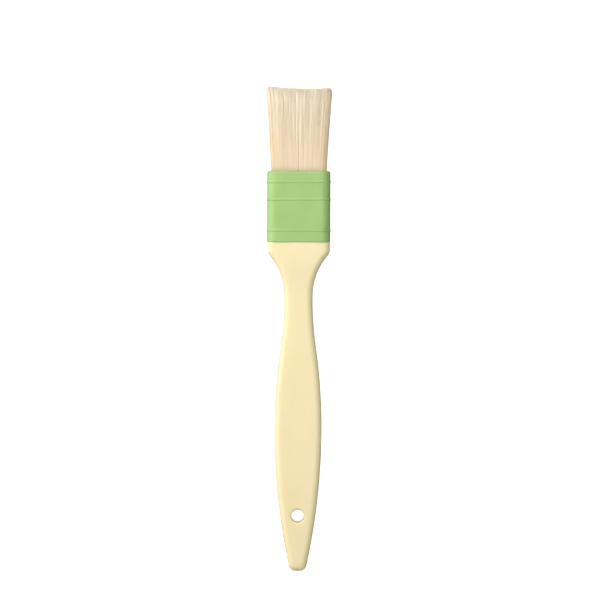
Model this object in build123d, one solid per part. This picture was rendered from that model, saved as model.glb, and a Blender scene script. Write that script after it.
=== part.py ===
from build123d import *
import math
import os

# A flat pastry brush, lying on its back. X runs across its width, Y from the handle's tail to the
# bristle tips, and Z is its thickness, with z = 0 under the ferrule's ribs and the origin at the
# middle of the brush's length and width. Sizes are in millimetres and angles in degrees.

# Driving dimensions: the whole brush
overall_length = 224.6
free_bristle_length = 39.3
ferrule_length = 32.9

# Ferrule: a moulded sleeve with three fine ribs round it
ferrule_width = 29.3
ferrule_thickness = 13.3
ferrule_corner = 4.6
ferrule_wall = 1.3
bore_corner = 2.6              # tighter than an even wall would need, so that more bristles fit
mouth_rim_rounding = 0.95
mouth_rounding = 0.25
handle_end_rounding = 0.25
rib_height = 0.2
rib_width = 1.3
rib_distances = (5.1, 13.3, 27.6)   # from the bristle end of the sleeve

# Handle from above: half widths, and the radii of the arcs that join them
grip_half_width = 10.95
neck_half_width = 6.6
head_half_width = 14.5
tail_end_radius = 12.0
tail_corner_radius = 3.2
grip_radius = 300.0
grip_turn_degrees = 12.2       # how far that arc turns between the tail's corner and the widest point
waist_length = 60.0            # from the widest point to the neck
waist_convex_share = 0.63
flare_radius = 29.0
shoulder_radius = 3.2
head_length = 3.9              # the straight stretch next to the ferrule

# Handle from the side: half thicknesses
tail_half_thickness = 4.2
grip_half_thickness = 6.5
neck_half_thickness = 5.4
head_half_thickness = 6.5
side_overrun = 4.0             # the side view runs on past the tail, whose end the plan shapes
crown_radius = 130.0           # the front and the back are slightly domed from edge to edge
crown_overlap = 2.0            # how far the front and back halves are drawn past the middle plane
handle_edge_radius = 3.1

# Hanging hole
hole_radius = 3.0
hole_from_tail = 25.6
hole_rim_rounding = 0.8

# Inside the ferrule, from the handle to the mouth
tang_length = 14.0
tang_glue_gap = 0.1
tang_end_chamfer = 0.6
resin_length = 7.0
butt_depth = 3.0               # how far the bristle butts are sunk into the resin
resin_rim = 0.6                # thickness of the resin round the butts
strip_thickness = 2.4
strip_width = 23.0
strip_below_mouth = 6.2
strip_end_chamfer = 0.9

# Free bristles: one tuft in two banks, which flexes about an axis just past the mouth
pivot_from_mouth = 2.0
flex_clearance = 0.3           # all round, between the turning tuft and what is fixed
tuft_tip_half_width = 15.3
tuft_tip_corner = 2.4

# Edges are chosen by where their middles lie, this far inside a limit or more
choosing_margin = 0.1

# Worked out from those
tail_y = -overall_length / 2
tip_y = overall_length / 2
mouth_y = tip_y - free_bristle_length
ferrule_end_y = mouth_y - ferrule_length
middle_z = ferrule_thickness / 2 + rib_height
inner_width = ferrule_width - 2 * ferrule_wall
inner_thickness = ferrule_thickness - 2 * ferrule_wall
tang_end_y = ferrule_end_y + tang_length
resin_end_y = tang_end_y + resin_length
butt_y = resin_end_y - butt_depth
pivot_y = mouth_y + pivot_from_mouth
tuft_half_width = inner_width / 2 - flex_clearance
tuft_half_thickness = inner_thickness / 2 - flex_clearance
tuft_edge_radius = bore_corner - flex_clearance
tuft_base_y = pivot_y - tuft_half_thickness
tuft_flare_y = pivot_y + pivot_from_mouth
root_end_y = tuft_base_y - flex_clearance

# Worked out for the handle's outline: how far each arc turns, and where the arcs meet
grip_turn = math.radians(grip_turn_degrees)
corner_end_x = grip_half_width - grip_radius * (1 - math.cos(grip_turn))
tail_end_turn = math.asin(
    (corner_end_x - tail_corner_radius * math.cos(grip_turn)) / (tail_end_radius - tail_corner_radius)
)
flare_turn = math.acos(1 - (head_half_width - neck_half_width) / (flare_radius + shoulder_radius))
widest_y = (
    tail_y + tail_end_radius * (1 - math.cos(tail_end_turn)) + grip_radius * math.sin(grip_turn)
    + tail_corner_radius * (math.cos(tail_end_turn) - math.sin(grip_turn))
)
neck_start_y = widest_y + waist_length
head_y = ferrule_end_y - head_length
neck_end_y = head_y - (flare_radius + shoulder_radius) * math.sin(flare_turn)


def bar(width, thickness, corner, start_y, end_y):
    """A straight bar of rounded-rectangle section along Y, on the brush's middle plane."""
    across = Plane(origin=(0, start_y, middle_z), x_dir=(1, 0, 0), z_dir=(0, 1, 0))
    section = across * RectangleRounded(width, thickness, corner)
    return extrude(section, amount=end_y - start_y)


def bore(start_y, end_y):
    """A stretch of the space inside the ferrule."""
    return bar(inner_width, inner_thickness, bore_corner, start_y, end_y)


def half_space(side):
    """A block over the whole brush, on the front (side 1) or the rear (side -1) of its middle plane."""
    reach = ferrule_thickness
    return Pos(0, 0, middle_z + side * reach / 2) * Box(2 * ferrule_width, 2 * overall_length, reach)


def turned_arc(start, tangent, radius, turn):
    """An arc from start that turns left by an angle in radians, or right where it is negative."""
    return JernArc(start, tangent, radius, math.degrees(turn))


def double_arc(start, rise, run, first_share):
    """Two arcs of opposite bend that leave start along +Y and end run further on, again along +Y,
    having moved rise in X. first_share is the first arc's share of the length."""
    turn = -2 * math.atan(rise / run)
    both_radii = run / math.sin(abs(turn))
    first = turned_arc(start, (0, 1), both_radii * first_share, turn)
    second = turned_arc(first @ 1, first % 1, both_radii * (1 - first_share), -turn)
    return [first, second]


def handle_plan():
    """The handle from above, without its tang: tail, grip, neck, flare, shoulder and head."""
    tail_end = turned_arc((0, tail_y), (1, 0), tail_end_radius, tail_end_turn)
    corner_turn = math.pi / 2 - tail_end_turn - grip_turn
    corner = turned_arc(tail_end @ 1, tail_end % 1, tail_corner_radius, corner_turn)
    grip = turned_arc(corner @ 1, corner % 1, grip_radius, grip_turn)
    waist = double_arc(
        grip @ 1, neck_half_width - grip_half_width, waist_length, waist_convex_share
    )
    neck = Line(waist[-1] @ 1, (neck_half_width, neck_end_y))
    flare = turned_arc(neck @ 1, (0, 1), flare_radius, -flare_turn)
    shoulder = turned_arc(flare @ 1, flare % 1, shoulder_radius, flare_turn)
    head = Line(shoulder @ 1, (head_half_width, ferrule_end_y))
    right_half = [tail_end, corner, grip, *waist, neck, flare, shoulder, head]
    left_half = [mirror(edge, about=Plane.YZ) for edge in right_half]
    end = Line(head @ 1, (-head_half_width, ferrule_end_y))
    return make_face([*right_half, end, *left_half])


def handle_side():
    """The front half of the handle from the side, drawn with its half thickness along X: tail, grip,
    neck and head."""
    tail = Line((-crown_overlap, tail_y - side_overrun), (tail_half_thickness, tail_y - side_overrun))
    rise, run = grip_half_thickness - tail_half_thickness, widest_y - tail_y + side_overrun
    radius = (run**2 + rise**2) / (2 * rise)
    turn = math.asin(run / radius)
    grip = turned_arc(tail @ 1, (math.sin(turn), math.cos(turn)), radius, turn)
    waist = double_arc(grip @ 1, neck_half_thickness - grip_half_thickness, waist_length, 0.5)
    neck = Line(waist[-1] @ 1, (neck_half_thickness, neck_end_y))
    rise_to_head = head_half_thickness - neck_half_thickness
    to_head = double_arc(neck @ 1, rise_to_head, head_y - neck_end_y, 0.5)
    head = Line(to_head[-1] @ 1, (head_half_thickness, ferrule_end_y))
    end = Line(head @ 1, (-crown_overlap, ferrule_end_y))
    return make_face([tail, grip, *waist, neck, *to_head, head, end, Line(end @ 1, tail @ 0)])


def crowned_slab():
    """A slab of the handle's thickness, wider than the handle. Its front is the side view turned about
    an axis along the brush, deep below it, which domes it from edge to edge, and its back mirrors it."""
    axis_z = middle_z + grip_half_thickness - crown_radius
    half_turn = math.degrees(math.asin(ferrule_width / crown_radius))
    side_face = Pos(0, 0, middle_z) * Rot(0, -90, 0) * handle_side()
    turned = revolve(side_face, Axis((0, 0, axis_z), (0, 1, 0)), 2 * half_turn)
    front = Pos(0, 0, axis_z) * Rot(0, -half_turn, 0) * Pos(0, 0, -axis_z) * turned
    middle_plane = Plane(origin=(0, 0, middle_z), z_dir=(0, 0, 1))
    return front + mirror(front, about=middle_plane)


def handle():
    """The moulded handle: the plan and the crowned slab cut out of one another, rounded along its long
    edges, with the tang that goes into the ferrule and the hanging hole."""
    plan = extrude(Pos(0, 0, middle_z) * handle_plan(), amount=ferrule_thickness, both=True)
    body = plan & crowned_slab()
    long_edges = [
        edge for edge in body.edges()
        if abs(edge.center().Z - middle_z) > choosing_margin
        and abs(edge.center().X) > choosing_margin
        and edge.center().Y < ferrule_end_y - choosing_margin
    ]
    body = fillet(long_edges, handle_edge_radius)
    tang = bar(
        inner_width - 2 * tang_glue_gap, inner_thickness - 2 * tang_glue_gap,
        bore_corner - tang_glue_gap, ferrule_end_y - head_length, tang_end_y,
    )
    tang = chamfer(tang.faces().sort_by(Axis.Y)[-1].edges(), tang_end_chamfer)
    hole_centre = Vector(0, tail_y + hole_from_tail, middle_z)
    drill = Pos(hole_centre) * Cylinder(hole_radius, 2 * ferrule_thickness)
    body = body + tang - drill
    hole_wall = body.faces().sort_by_distance(hole_centre)[0]
    rims = hole_wall.edges().filter_by(GeomType.LINE, reverse=True)
    return fillet(rims, hole_rim_rounding)


def rib(distance):
    """One raised rib round the ferrule, centred at a distance from the sleeve's bristle end. Its section
    is a lens, of which the outer half stands out of the sleeve."""
    outer = ThreePointArc((-rib_width / 2, 0), (0, rib_height), (rib_width / 2, 0))
    lens = make_face([outer, mirror(outer, about=Plane.XZ)])
    around = Plane(origin=(0, mouth_y - distance, middle_z), x_dir=(1, 0, 0), z_dir=(0, 1, 0))
    path = (around * RectangleRounded(ferrule_width, ferrule_thickness, ferrule_corner)).wire()
    upright = Plane(origin=path @ 0, x_dir=(0, 1, 0), z_dir=path % 0)
    return sweep(upright * lens, path=path)


def ferrule():
    """The green sleeve that joins the handle's tang and the bristles."""
    sleeve = bar(ferrule_width, ferrule_thickness, ferrule_corner, ferrule_end_y, mouth_y)
    sleeve = fillet(sleeve.faces().sort_by(Axis.Y)[-1].edges(), mouth_rim_rounding)
    sleeve = fillet(sleeve.faces().sort_by(Axis.Y)[0].edges(), handle_end_rounding)
    for distance in rib_distances:
        sleeve += rib(distance)
    sleeve -= bore(ferrule_end_y, mouth_y)
    mouth_edge = sleeve.faces().sort_by(Axis.Y)[-1].inner_wires()[0].edges()
    return fillet(mouth_edge, mouth_rounding)


def filler_strip():
    """The flat strip that keeps the two banks of bristles apart in the ferrule. Its outer end is
    bevelled, so that the banks close over it."""
    end_y = mouth_y - strip_below_mouth
    length = end_y - butt_y
    strip = Pos(0, butt_y + length / 2, middle_z) * Box(strip_width, length, strip_thickness)
    end_edges = strip.faces().sort_by(Axis.Y)[-1].edges().filter_by(Axis.X)
    return chamfer(end_edges, strip_end_chamfer)


def bristle_roots(side):
    """The part of a bank of bristles that is packed tight inside the ferrule and can't flex."""
    butts = bar(
        inner_width - 2 * resin_rim, inner_thickness - 2 * resin_rim, bore_corner - resin_rim,
        butt_y, resin_end_y,
    )
    packed = butts + bore(resin_end_y, root_end_y)
    return (packed & half_space(side)) - filler_strip()


def resin_setting():
    """The cured resin that holds the bristle butts and the strip, poured against the tang."""
    block = bore(tang_end_y, resin_end_y)
    return block - bristle_roots(1) - bristle_roots(-1) - filler_strip()


def free_bristles(side):
    """The free length of a bank of bristles. It widens towards the tips, and its base is a drum about
    the flexing axis, so that it turns inside the mouth without touching the sleeve."""
    outline = Polyline(
        (-tuft_half_width, pivot_y), (tuft_half_width, pivot_y),
        (tuft_half_width, tuft_flare_y), (tuft_tip_half_width, tip_y),
        (-tuft_tip_half_width, tip_y), (-tuft_half_width, tuft_flare_y), close=True,
    )
    face = make_face(outline)
    face = fillet(face.vertices().group_by(Axis.Y)[-1], tuft_tip_corner)
    tuft = extrude(Pos(0, 0, middle_z) * face, amount=tuft_half_thickness, both=True)
    long_edges = [
        edge for edge in tuft.edges()
        if abs(edge.center().Z - middle_z) > choosing_margin
        and edge.center().Y > pivot_y + choosing_margin
    ]
    tuft = fillet(long_edges, tuft_edge_radius)
    drum = Cylinder(tuft_half_thickness, 2 * tuft_half_width)
    drum = fillet(drum.edges().filter_by(GeomType.CIRCLE), tuft_edge_radius)
    drum = Pos(0, pivot_y, middle_z) * Rot(0, 90, 0) * drum
    return (tuft + drum) & half_space(side)


parts = {
    "handle": handle(),
    "ferrule": ferrule(),
    "filler_strip": filler_strip(),
    "resin_setting": resin_setting(),
    "bristle_roots_front": bristle_roots(1),
    "bristle_roots_rear": bristle_roots(-1),
    "bristles_front": free_bristles(1),
    "bristles_rear": free_bristles(-1),
}
os.makedirs("parts", exist_ok=True)
for name, solid in parts.items():
    export_step(solid, f"parts/{name}.step")
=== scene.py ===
import math

import bmesh
import bpy
import numpy as np
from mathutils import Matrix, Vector


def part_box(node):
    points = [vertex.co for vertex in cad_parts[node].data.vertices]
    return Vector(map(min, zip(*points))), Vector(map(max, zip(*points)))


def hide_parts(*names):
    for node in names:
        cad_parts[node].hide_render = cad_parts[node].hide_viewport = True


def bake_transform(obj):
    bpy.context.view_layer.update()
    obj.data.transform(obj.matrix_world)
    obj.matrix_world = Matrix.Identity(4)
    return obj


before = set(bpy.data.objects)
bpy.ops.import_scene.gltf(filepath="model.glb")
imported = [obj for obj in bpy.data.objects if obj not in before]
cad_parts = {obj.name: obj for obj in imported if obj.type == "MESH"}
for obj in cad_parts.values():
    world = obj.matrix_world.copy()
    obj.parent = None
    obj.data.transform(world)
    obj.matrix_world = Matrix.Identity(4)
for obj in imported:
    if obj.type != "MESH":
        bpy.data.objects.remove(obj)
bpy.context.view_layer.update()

# The looks of a flat pastry brush that lies on its back: bristles towards +Y, handle towards -Y.
# Lengths are in metres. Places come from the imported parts.

# Places read from the frame
roots_low, roots_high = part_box("bristle_roots_front")
strip_low, strip_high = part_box("filler_strip")
butt_y = roots_low.y
resin_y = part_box("resin_setting")[1].y
strip_end_y = strip_high.y
mouth_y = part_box("ferrule")[1].y
tip_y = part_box("bristles_front")[1].y
middle_z = roots_low.z             # half-way through the ferrule, between the two banks of bristles
bore_half_width = roots_high.x
bore_half_thickness = roots_high.z - middle_z
strip_half_thickness = (strip_high.z - strip_low.z) / 2

# Handle
handle_face_size = 0.00038         # of the even mesh that it is shaded on

# Bristles
strand_spacing = 0.000216          # between neighbours, as packed in the ferrule's mouth
packing_scatter = 0.12             # of the spacing
strand_radius = 0.000105
strand_taper = 0.2                 # how much of its radius a strand loses by its tip
strand_sides = 5
mouth_corner = 0.0028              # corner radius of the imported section
mouth_side_gap = 0.00045           # between the outermost strands and the sleeve, at the two sides
mouth_inset = 0.002                # how far inside the mouth the strands are packed as they are in it
strip_squeeze = (0.99, 0.98)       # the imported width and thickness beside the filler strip, and
butt_squeeze = (0.955, 0.87)       # at the butts, as shares of the room that there is
tip_half_width = 0.0153
tip_thickness_share = 0.92         # the tuft is a little thinner at its tips than at the mouth
tip_side_thinning = 0.40           # and thinner again towards its two sides
tip_dip = 0.0008                   # how far the middle of the tip line lies behind its corners
tip_slant = 0.00035                # how much lower the right-hand corner is cut than the middle
tip_crown = 0.0008                 # how much lower the front and the back are cut than the middle
tip_corner = 0.0018                # corner radius of the tip line
tip_scatter = 0.0011               # how unevenly the strands are cut
stray_share = 0.07                 # of the strands, which end up to stray_shortfall early
stray_shortfall = 0.004
clump_spacing = 0.0017             # at the tips
clump_pull = 0.05                  # how far a strand leans towards the middle of its clump
clump_wave = (0.35, 3000)          # clumps a row apart don't line up: shift in clumps, and per metre
wander = 0.0001                    # how far a strand drifts sideways by its tip
bow = 0.00004                      # and how far it bows out half-way
spread_power = 1.15                # above 1, the tuft spreads a little more towards its tips
parting_places = (-0.0003, -0.0085, 0.0062)   # across the mouth, where the strands part a little
parting_width = 0.00008            # how far they part, to each side
parting_reach = 0.0006             # how far from a parting the strands still lean away from it
free_stations = (0.0, 0.06, 0.12, 0.19, 0.28, 0.45, 0.75, 1.0)   # shares of the free length

# The strands' tones, from 0, darkest, to 1
middle_tone = 0.55
tone_scatter = 0.10
# painted shade: how much darker the outermost strands are made, where the tuft's sides are in shade
painted_side_shade = 0.55
streak_depth = 0.06
streak_waves = ((2600, 0, 0), (5300, 0, 1.7), (1100, 900, 0.6))   # radians a metre in x and z, phase

# Light and camera
softbox_size = 0.7
softbox_distance = 0.75
world_light = 0.08                 # the grey that lights the brush from all round
photo_span = 0.2805                # the width of the picture, in the plane half-way through the brush
camera_lens = 260.0
camera_sensor = 36.0
camera_offset = (0.0019, 0.0121)   # from the middle of the brush
camera_roll_degrees = 0.2


# ---------------------------------------------------------------- camera, light and floor

def make_camera():
    """Straight down on the brush, with its bristles at the top of the picture."""
    data = bpy.data.cameras.new("camera")
    data.lens = camera_lens
    data.sensor_width = camera_sensor
    camera = bpy.data.objects.new("camera", data)
    distance = photo_span * camera_lens / camera_sensor
    camera.location = (*camera_offset, middle_z + distance)
    camera.rotation_euler = (0, 0, math.radians(camera_roll_degrees))
    bpy.context.scene.collection.objects.link(camera)
    bpy.context.scene.camera = camera


def make_softbox(name, bearing, height, strength):
    """A square studio light that faces the brush. bearing is in degrees from +X towards +Y, height is
    in degrees above the table, and a strength of 1 from a small box would light a white card to full
    white."""
    turn, lift = math.radians(bearing), math.radians(height)
    towards = Vector((
        math.cos(turn) * math.cos(lift), math.sin(turn) * math.cos(lift), math.sin(lift),
    ))
    data = bpy.data.lights.new(name, "AREA")
    data.size = softbox_size
    data.energy = strength * (math.pi * softbox_distance) ** 2
    lamp = bpy.data.objects.new(name, data)
    lamp.location = towards * softbox_distance
    lamp.rotation_euler = towards.to_track_quat("Z", "Y").to_euler()
    lamp.visible_camera = False
    bpy.context.scene.collection.objects.link(lamp)


def make_lights():
    """A key on the left towards the tips, two more on the left, one past the tips, a weak one past the
    tail, one almost overhead, and a very faint one on the right."""
    make_softbox("key", 135, 30, 0.69)
    make_softbox("left_low", 180, 0, 0.60)
    make_softbox("left", 180, 40, 0.15)
    make_softbox("past_tips", 90, 45, 0.31)
    make_softbox("past_tail", 270, 15, 0.20)
    make_softbox("overhead", 0, 70, 0.52)
    make_softbox("right_fill", 0, 15, 0.02)


def make_world():
    """White where the camera sees it, and a dim grey where it only lights the brush."""
    world = bpy.data.worlds.new("studio")
    bpy.context.scene.world = world
    world.use_nodes = True
    nodes, links = world.node_tree.nodes, world.node_tree.links
    seen = nodes["Background"]
    seen.inputs["Color"].default_value = (1, 1, 1, 1)
    dim = nodes.new("ShaderNodeBackground")
    dim.inputs["Color"].default_value = (world_light, world_light, world_light, 1)
    path = nodes.new("ShaderNodeLightPath")
    mix = nodes.new("ShaderNodeMixShader")
    links.new(path.outputs["Is Camera Ray"], mix.inputs["Fac"])
    links.new(dim.outputs["Background"], mix.inputs[1])
    links.new(seen.outputs["Background"], mix.inputs[2])
    links.new(mix.outputs["Shader"], nodes["World Output"].inputs["Surface"])


def make_floor():
    """A white table top, level under the handle and the ferrule, that curves down from just before the
    mouth so that the bristles have room to flex. It is only seen: it neither lights nor shades."""
    reach = 2.0
    level_end = mouth_y - 0.003
    drop_length = 0.08
    drop = 0.06
    sink = 0.00002                 # under the ribs, so that the two surfaces don't flicker
    steps = 40
    ys = [-reach] + [level_end + drop_length * i / steps for i in range(steps + 1)] + [reach]
    table = bmesh.new()
    rows = []
    for y in ys:
        share = min(max((y - level_end) / drop_length, 0), 1)
        z = -sink - drop * share * share * (3 - 2 * share)
        rows.append([table.verts.new((x, y, z)) for x in (-reach, reach)])
    for (a, b), (c, d) in zip(rows, rows[1:]):
        table.faces.new((a, b, d, c)).smooth = True
    mesh = bpy.data.meshes.new("table_top")
    table.to_mesh(mesh)
    table.free()
    floor = bpy.data.objects.new("table_top", mesh)
    bpy.context.scene.collection.objects.link(floor)
    mesh.materials.append(white_table())
    floor.visible_diffuse = False
    floor.visible_glossy = False
    floor.visible_shadow = False


# ---------------------------------------------------------------- material helpers

def new_material(name, settings):
    """A material whose Principled shader has these values on its own sockets."""
    material = bpy.data.materials.new(name)
    material.use_nodes = True
    shader = material.node_tree.nodes["Principled BSDF"]
    for socket, value in settings.items():
        shader.inputs[socket].default_value = value
    return material, shader


def add_node(material, kind, inputs=None, **settings):
    """A new node. Each input is given a value, or a socket to be linked from."""
    node = material.node_tree.nodes.new(kind)
    for name, value in settings.items():
        setattr(node, name, value)
    for socket, value in (inputs or {}).items():
        if isinstance(value, bpy.types.NodeSocket):
            material.node_tree.links.new(value, node.inputs[socket])
        else:
            node.inputs[socket].default_value = value
    return node


def place_on_object(material, stretch=(1, 1, 1)):
    """The place on the object, with each axis stretched, for a pattern to use."""
    coordinates = add_node(material, "ShaderNodeTexCoord")
    mapping = add_node(material, "ShaderNodeMapping", {
        "Vector": coordinates.outputs["Object"], "Scale": stretch,
    })
    return mapping.outputs["Vector"]


def noise(material, scale, detail=3.0, stretch=(1, 1, 1)):
    """Soft noise from 0 to 1. scale is the number of features in a metre."""
    node = add_node(material, "ShaderNodeTexNoise", {
        "Vector": place_on_object(material, stretch), "Scale": scale, "Detail": detail,
    })
    return node.outputs["Fac"]


def ramp(material, factor, stops):
    """Colours along a factor. Each stop is a position and a linear colour."""
    node = add_node(material, "ShaderNodeValToRGB", {"Fac": factor})
    elements = node.color_ramp.elements
    while len(elements) < len(stops):
        elements.new(0.5)
    for element, (position, colour) in zip(elements, stops):
        element.position = position
        element.color = (*colour, 1)
    return node.outputs["Color"]


def mix_colours(material, factor, first, second):
    """Two colours mixed by a factor. The mix node's colour sockets share their names with its others,
    so they are reached by number."""
    node = add_node(material, "ShaderNodeMix", {0: factor, 6: first, 7: second}, data_type="RGBA")
    return node.outputs[2]


def map_range(material, value, low, high, new_low, new_high):
    """A value moved from one range to another, and kept inside it."""
    node = add_node(material, "ShaderNodeMapRange", {
        "Value": value, "From Min": low, "From Max": high, "To Min": new_low, "To Max": new_high,
    })
    return node.outputs["Result"]


def link(material, socket, shader, name):
    """Feeds a socket to the shader's input of this name."""
    material.node_tree.links.new(socket, shader.inputs[name])


def bump(material, shader, height, distance):
    """Fine relief, whose highest point stands out by distance."""
    node = add_node(material, "ShaderNodeBump", {"Height": height, "Distance": distance})
    link(material, node.outputs["Normal"], shader, "Normal")


# ---------------------------------------------------------------- materials

def white_table():
    """Plain white that glows to full white some way off, and a little less close to the brush."""
    material, shader = new_material("white_table", {
        "Base Color": (0.8, 0.8, 0.8, 1), "Roughness": 0.9, "Specular IOR Level": 0.0,
        "Emission Color": (1, 1, 1, 1),
    })
    coordinates = add_node(material, "ShaderNodeTexCoord")
    distance = add_node(material, "ShaderNodeVectorMath", {0: coordinates.outputs["Object"]},
                        operation="LENGTH").outputs["Value"]
    near, far = 0.14, 0.3
    glow = map_range(material, distance, near, far, 0.86, 1.0)
    link(material, glow, shader, "Emission Strength")
    return material


def handle_plastic():
    """Cream satin plastic, faintly cloudy, with a little orange peel from the mould."""
    material, shader = new_material("cream_plastic", {
        "Specular IOR Level": 0.5, "Subsurface Weight": 0.6, "Subsurface Radius": (1.0, 0.8, 0.5),
        "Subsurface Scale": 0.003,
    })
    cloud = noise(material, 45, 3, (1, 0.4, 1))
    colour = ramp(material, cloud, [
        (0.3, (0.85, 0.725, 0.428)), (0.7, (0.90, 0.79, 0.50)),
    ])
    link(material, colour, shader, "Base Color")
    streaks = noise(material, 900, 4, (1, 0.12, 1))
    link(material, map_range(material, streaks, 0.3, 0.7, 0.40, 0.48), shader, "Roughness")
    bump(material, shader, noise(material, 1400, 2), 0.00001)
    return material


def ferrule_plastic():
    """Pale green satin plastic."""
    material, shader = new_material("green_plastic", {
        "Specular IOR Level": 0.5, "Subsurface Weight": 0.15, "Subsurface Radius": (0.5, 1.0, 0.4),
        "Subsurface Scale": 0.001,
    })
    cloud = noise(material, 120, 3)
    colour = ramp(material, cloud, [
        (0.3, (0.32, 0.52, 0.160)), (0.7, (0.35, 0.555, 0.182)),
    ])
    link(material, colour, shader, "Base Color")
    scuffs = noise(material, 1600, 3, (0.15, 1, 1))
    link(material, map_range(material, scuffs, 0.3, 0.7, 0.40, 0.48), shader, "Roughness")
    bump(material, shader, noise(material, 2500, 2), 0.00001)
    return material


def bristle_fibre():
    """Bleached bristle: each strand has its own tone, is darkened by painted shade close to the
    ferrule's mouth and is palest at its tip."""
    material, shader = new_material("bristle_fibre", {
        "Roughness": 0.6, "Specular IOR Level": 0.25,
    })
    tone = add_node(material, "ShaderNodeAttribute", attribute_name="strand_tone").outputs["Fac"]
    reach = add_node(material, "ShaderNodeAttribute", attribute_name="strand_reach").outputs["Fac"]
    root = ramp(material, tone, [
        (0.0, (0.80, 0.62, 0.40)), (0.5, (0.92, 0.775, 0.55)), (1.0, (0.95, 0.84, 0.65)),
    ])
    tip = ramp(material, tone, [
        (0.0, (0.90, 0.78, 0.59)), (1.0, (0.95, 0.87, 0.71)),
    ])
    paleness = map_range(material, reach, 0.35, 1.0, 0.0, 1.0)
    colour = mix_colours(material, paleness, root, tip)
    # painted shade: the strands darken towards this colour just outside the mouth, where the rim shades
    # them
    painted_mouth_shade = (0.62, 0.50, 0.30, 1)
    painted_shade_amount = map_range(material, reach, 0.0, 0.07, 0.55, 0.0)
    colour = mix_colours(material, painted_shade_amount, colour, painted_mouth_shade)
    link(material, colour, shader, "Base Color")
    return material


def setting_resin():
    """Amber casting resin."""
    material, shader = new_material("setting_resin", {"Specular IOR Level": 0.5})
    colour = ramp(material, noise(material, 400, 3), [
        (0.3, (0.45, 0.27, 0.10)), (0.7, (0.55, 0.35, 0.14)),
    ])
    link(material, colour, shader, "Base Color")
    link(material, map_range(material, noise(material, 900), 0.3, 0.7, 0.2, 0.35), shader, "Roughness")
    return material


def strip_plastic():
    """Plain off-white plastic of the filler strip."""
    material, shader = new_material("strip_plastic", {"Specular IOR Level": 0.4})
    colour = ramp(material, noise(material, 300, 2), [
        (0.3, (0.70, 0.68, 0.62)), (0.7, (0.76, 0.74, 0.68)),
    ])
    link(material, colour, shader, "Base Color")
    link(material, map_range(material, noise(material, 1200), 0.3, 0.7, 0.45, 0.6), shader, "Roughness")
    return material


# ---------------------------------------------------------------- bristles

def packed_places(random):
    """Where the strands stand in the ferrule's mouth, as offsets from its middle: a slightly uneven
    honeycomb, cut to the rounded section of the bore."""
    half_width = bore_half_width - mouth_side_gap
    half_thickness = bore_half_thickness - strand_radius
    row_step = strand_spacing * math.sqrt(3) / 2
    rows = int(half_thickness / row_step)
    columns = int(half_width / strand_spacing)
    column, row = np.meshgrid(np.arange(-columns, columns + 1), np.arange(-rows, rows + 1))
    x = (column + 0.5 * (row % 2)).ravel() * strand_spacing
    z = (row.ravel() + 0.5) * row_step
    x += random.normal(0, packing_scatter * strand_spacing, x.size)
    z += random.normal(0, packing_scatter * strand_spacing, z.size)
    beyond_x = np.maximum(np.abs(x) - (half_width - mouth_corner), 0)
    beyond_z = np.maximum(np.abs(z) - (half_thickness - mouth_corner), 0)
    inside = np.hypot(beyond_x, beyond_z) < mouth_corner
    return x[inside], z[inside]


def hidden_stations(x, z):
    """Where the strands run inside the ferrule, as a y and two offsets from its middle: the butts in the
    resin, the resin's surface, the end of the filler strip, and just inside the mouth."""
    strip_room = strip_half_thickness + 1.5 * strand_radius   # keeps them clear of its surface
    inner = np.sign(z) * strip_room
    outer = z * (1 - strip_room / bore_half_thickness)
    strip_x, strip_z = strip_squeeze
    butt_x, butt_z = butt_squeeze
    return [
        (butt_y, x * butt_x, inner + outer * butt_z),
        (resin_y, x * strip_x, inner + outer * strip_z),
        (strip_end_y, x * strip_x, inner + outer * strip_z),
        (mouth_y - mouth_inset, x, z),
    ]


def tip_offsets(even_x, even_z, random):
    """The tips' places across and through the tuft, from even ones: drawn a little into clumps, and
    wandering."""
    shift, per_metre = clump_wave
    clump_x = np.round(even_x / clump_spacing + shift * np.sin(even_z * per_metre)) * clump_spacing
    clump_z = np.round(even_z / clump_spacing) * clump_spacing
    tip_x = even_x + (clump_pull * (clump_x - even_x) + random.normal(0, wander, even_x.size))
    tip_z = even_z + (clump_pull * (clump_z - even_z) + random.normal(0, wander, even_z.size))
    return tip_x, tip_z


def tip_shortfall(across, depth, random):
    """How far short of the tuft's full length each strand ends. across and depth run from -1 to 1."""
    count = across.size
    rounding = (np.abs(across) * tip_half_width - tip_half_width + tip_corner) / tip_corner
    rounding = np.clip(rounding, 0, 1)
    shortfall = tip_dip * (1 - across**2) + tip_slant * across
    shortfall += tip_corner * (1 - np.sqrt(1 - 0.98 * rounding**2))
    shortfall += tip_crown * depth**4
    shortfall += np.abs(random.normal(0, tip_scatter, count))
    stray = random.random(count) < stray_share
    shortfall += stray * random.random(count) * stray_shortfall
    return shortfall


def parting_lean(x):
    """How far the strands beside a parting lean away from it at the mouth."""
    lean = np.zeros(x.size)
    for place in parting_places:
        distance = x - place
        lean += np.sign(distance) * parting_width * np.exp(-np.abs(distance) / parting_reach)
    return lean


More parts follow.
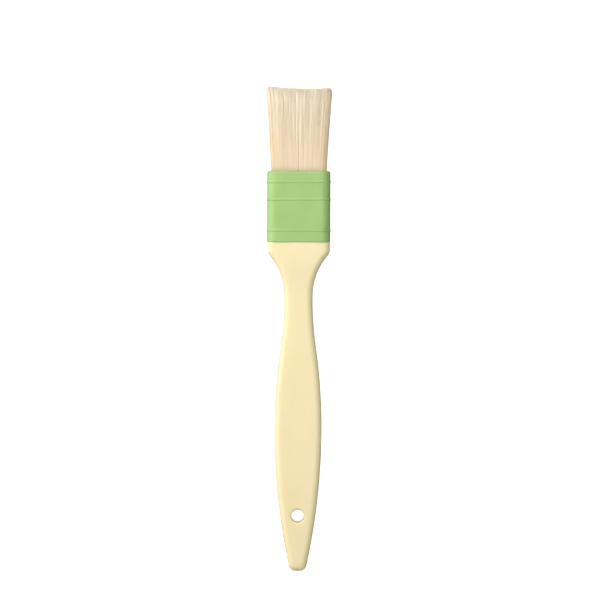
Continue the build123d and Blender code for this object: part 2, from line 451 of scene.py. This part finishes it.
def strand_lines(x, z, random):
    """The strands' centrelines, as an array of strands, stations and coordinates, and each station's
    share of the free length. The first stations are inside the ferrule."""
    count = x.size
    across = x / (bore_half_width - mouth_side_gap)
    depth = z / bore_half_thickness
    tip_share = tip_thickness_share * (1 - tip_side_thinning * np.abs(across) ** 3)
    even_x = across * tip_half_width
    even_z = z * tip_share
    tip_x, tip_z = tip_offsets(even_x, even_z, random)
    bow_x = random.normal(0, bow, count)
    bow_z = random.normal(0, bow, count)
    end_y = tip_y - tip_shortfall(across, depth, random)
    parting = parting_lean(x)

    points, shares = [], []
    for y, at_x, at_z in hidden_stations(x, z):
        points.append(np.stack([at_x, np.full(count, y), middle_z + at_z], axis=1))
        shares.append(0.0)
    for share in free_stations:
        bowing = math.sin(math.pi * share)
        at_x = x + share**spread_power * (even_x - x) + share**2 * (tip_x - even_x)
        at_x = at_x + bowing * bow_x + parting * (1 - share) ** 2
        at_z = z + share * z * (tip_share - 1) + share**2 * (tip_z - even_z)
        at_z = at_z + bowing * bow_z
        at_y = mouth_y + share * (end_y - mouth_y)
        points.append(np.stack([at_x, at_y, middle_z + at_z], axis=1))
        shares.append(share)
    return np.stack(points, axis=1), np.array(shares)


def strand_mesh(name, lines, shares, tones, turns):
    """Thin tapered tubes, closed at both ends, along the lines."""
    count, stations = lines.shape[:2]
    radius = strand_radius * (1 - strand_taper * shares**2)
    angle = turns[:, None] + np.arange(strand_sides) * 2 * math.pi / strand_sides
    ring = np.stack([np.cos(angle), np.zeros_like(angle), -np.sin(angle)], axis=2)
    points = lines[:, :, None, :] + radius[None, :, None, None] * ring[:, None, :, :]

    strand = np.arange(count)[:, None, None] * stations * strand_sides
    station = np.arange(stations - 1)[None, :, None] * strand_sides
    side = np.arange(strand_sides)[None, None, :]
    next_side = (side + 1) % strand_sides
    here, there = strand + station, strand + station + strand_sides
    walls = np.stack([here + side, here + next_side, there + next_side, there + side], axis=3)
    first = np.arange(count)[:, None] * stations * strand_sides
    butts = first + np.arange(strand_sides)[None, ::-1]
    tips = first + (stations - 1) * strand_sides + np.arange(strand_sides)[None, :]

    mesh = bpy.data.meshes.new(name)
    faces = walls.reshape(-1, 4).tolist() + butts.tolist() + tips.tolist()
    mesh.from_pydata(points.reshape(-1, 3).tolist(), [], faces)
    mesh.shade_smooth()
    per_point = stations * strand_sides
    tone = mesh.attributes.new("strand_tone", "FLOAT", "POINT")
    tone.data.foreach_set("value", np.repeat(tones, per_point).astype(np.float32))
    reach = mesh.attributes.new("strand_reach", "FLOAT", "POINT")
    station_share = np.tile(np.repeat(shares, strand_sides), count)
    reach.data.foreach_set("value", station_share.astype(np.float32))
    return mesh


def strand_tones(x, z, random):
    """Each strand's tone: soft streaks across the tuft, painted shade at its sides, and a little of its
    own.
    """
    streak = sum(np.sin(x * across + z * through + phase) for across, through, phase in streak_waves)
    side = np.abs(x) / bore_half_width
    tones = middle_tone + streak_depth * streak - painted_side_shade * side**5
    return np.clip(tones + random.normal(0, tone_scatter, x.size), 0, 1)


def make_bristles():
    """The whole tuft, strand by strand, in four pieces: the left and right halves of the front and the
    rear bank."""
    random = np.random.default_rng(7)
    x, z = packed_places(random)
    lines, shares = strand_lines(x, z, random)
    tones = strand_tones(x, z, random)
    turns = random.random(x.size) * 2 * math.pi
    material = bristle_fibre()
    for bank, node_side in (("front", 1), ("rear", -1)):
        for half, x_side in (("left", -1), ("right", 1)):
            chosen = (np.sign(z) == node_side) & ((x >= 0) == (x_side > 0))
            name = f"bristle_strands_{bank}_{half}"
            mesh = strand_mesh(name, lines[chosen], shares, tones[chosen], turns[chosen])
            mesh.materials.append(material)
            piece = bpy.data.objects.new(name, mesh)
            bpy.context.scene.collection.objects.link(piece)
            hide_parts(f"bristles_{bank}", f"bristle_roots_{bank}")
            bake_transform(piece)


# ---------------------------------------------------------------- parts from the frame

def smooth_handle():
    """The handle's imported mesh, made again from even small faces, so that it shades smoothly."""
    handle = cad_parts["handle"]
    even = handle.modifiers.new("even_faces", "REMESH")
    even.mode = "VOXEL"
    even.voxel_size = handle_face_size
    even.use_smooth_shade = True
    soften = handle.modifiers.new("soften", "SMOOTH")
    soften.factor = 0.5
    soften.iterations = 4


def finish_frame_parts():
    """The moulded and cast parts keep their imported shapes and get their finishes."""
    finishes = {
        "handle": handle_plastic(),
        "ferrule": ferrule_plastic(),
        "resin_setting": setting_resin(),
        "filler_strip": strip_plastic(),
    }
    for node, material in finishes.items():
        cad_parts[node].material_slots[0].material = material
    smooth_handle()


# ---------------------------------------------------------------- the scene

make_camera()
make_world()
make_lights()
make_floor()
finish_frame_parts()
make_bristles()
bpy.context.scene.view_settings.view_transform = "Standard"
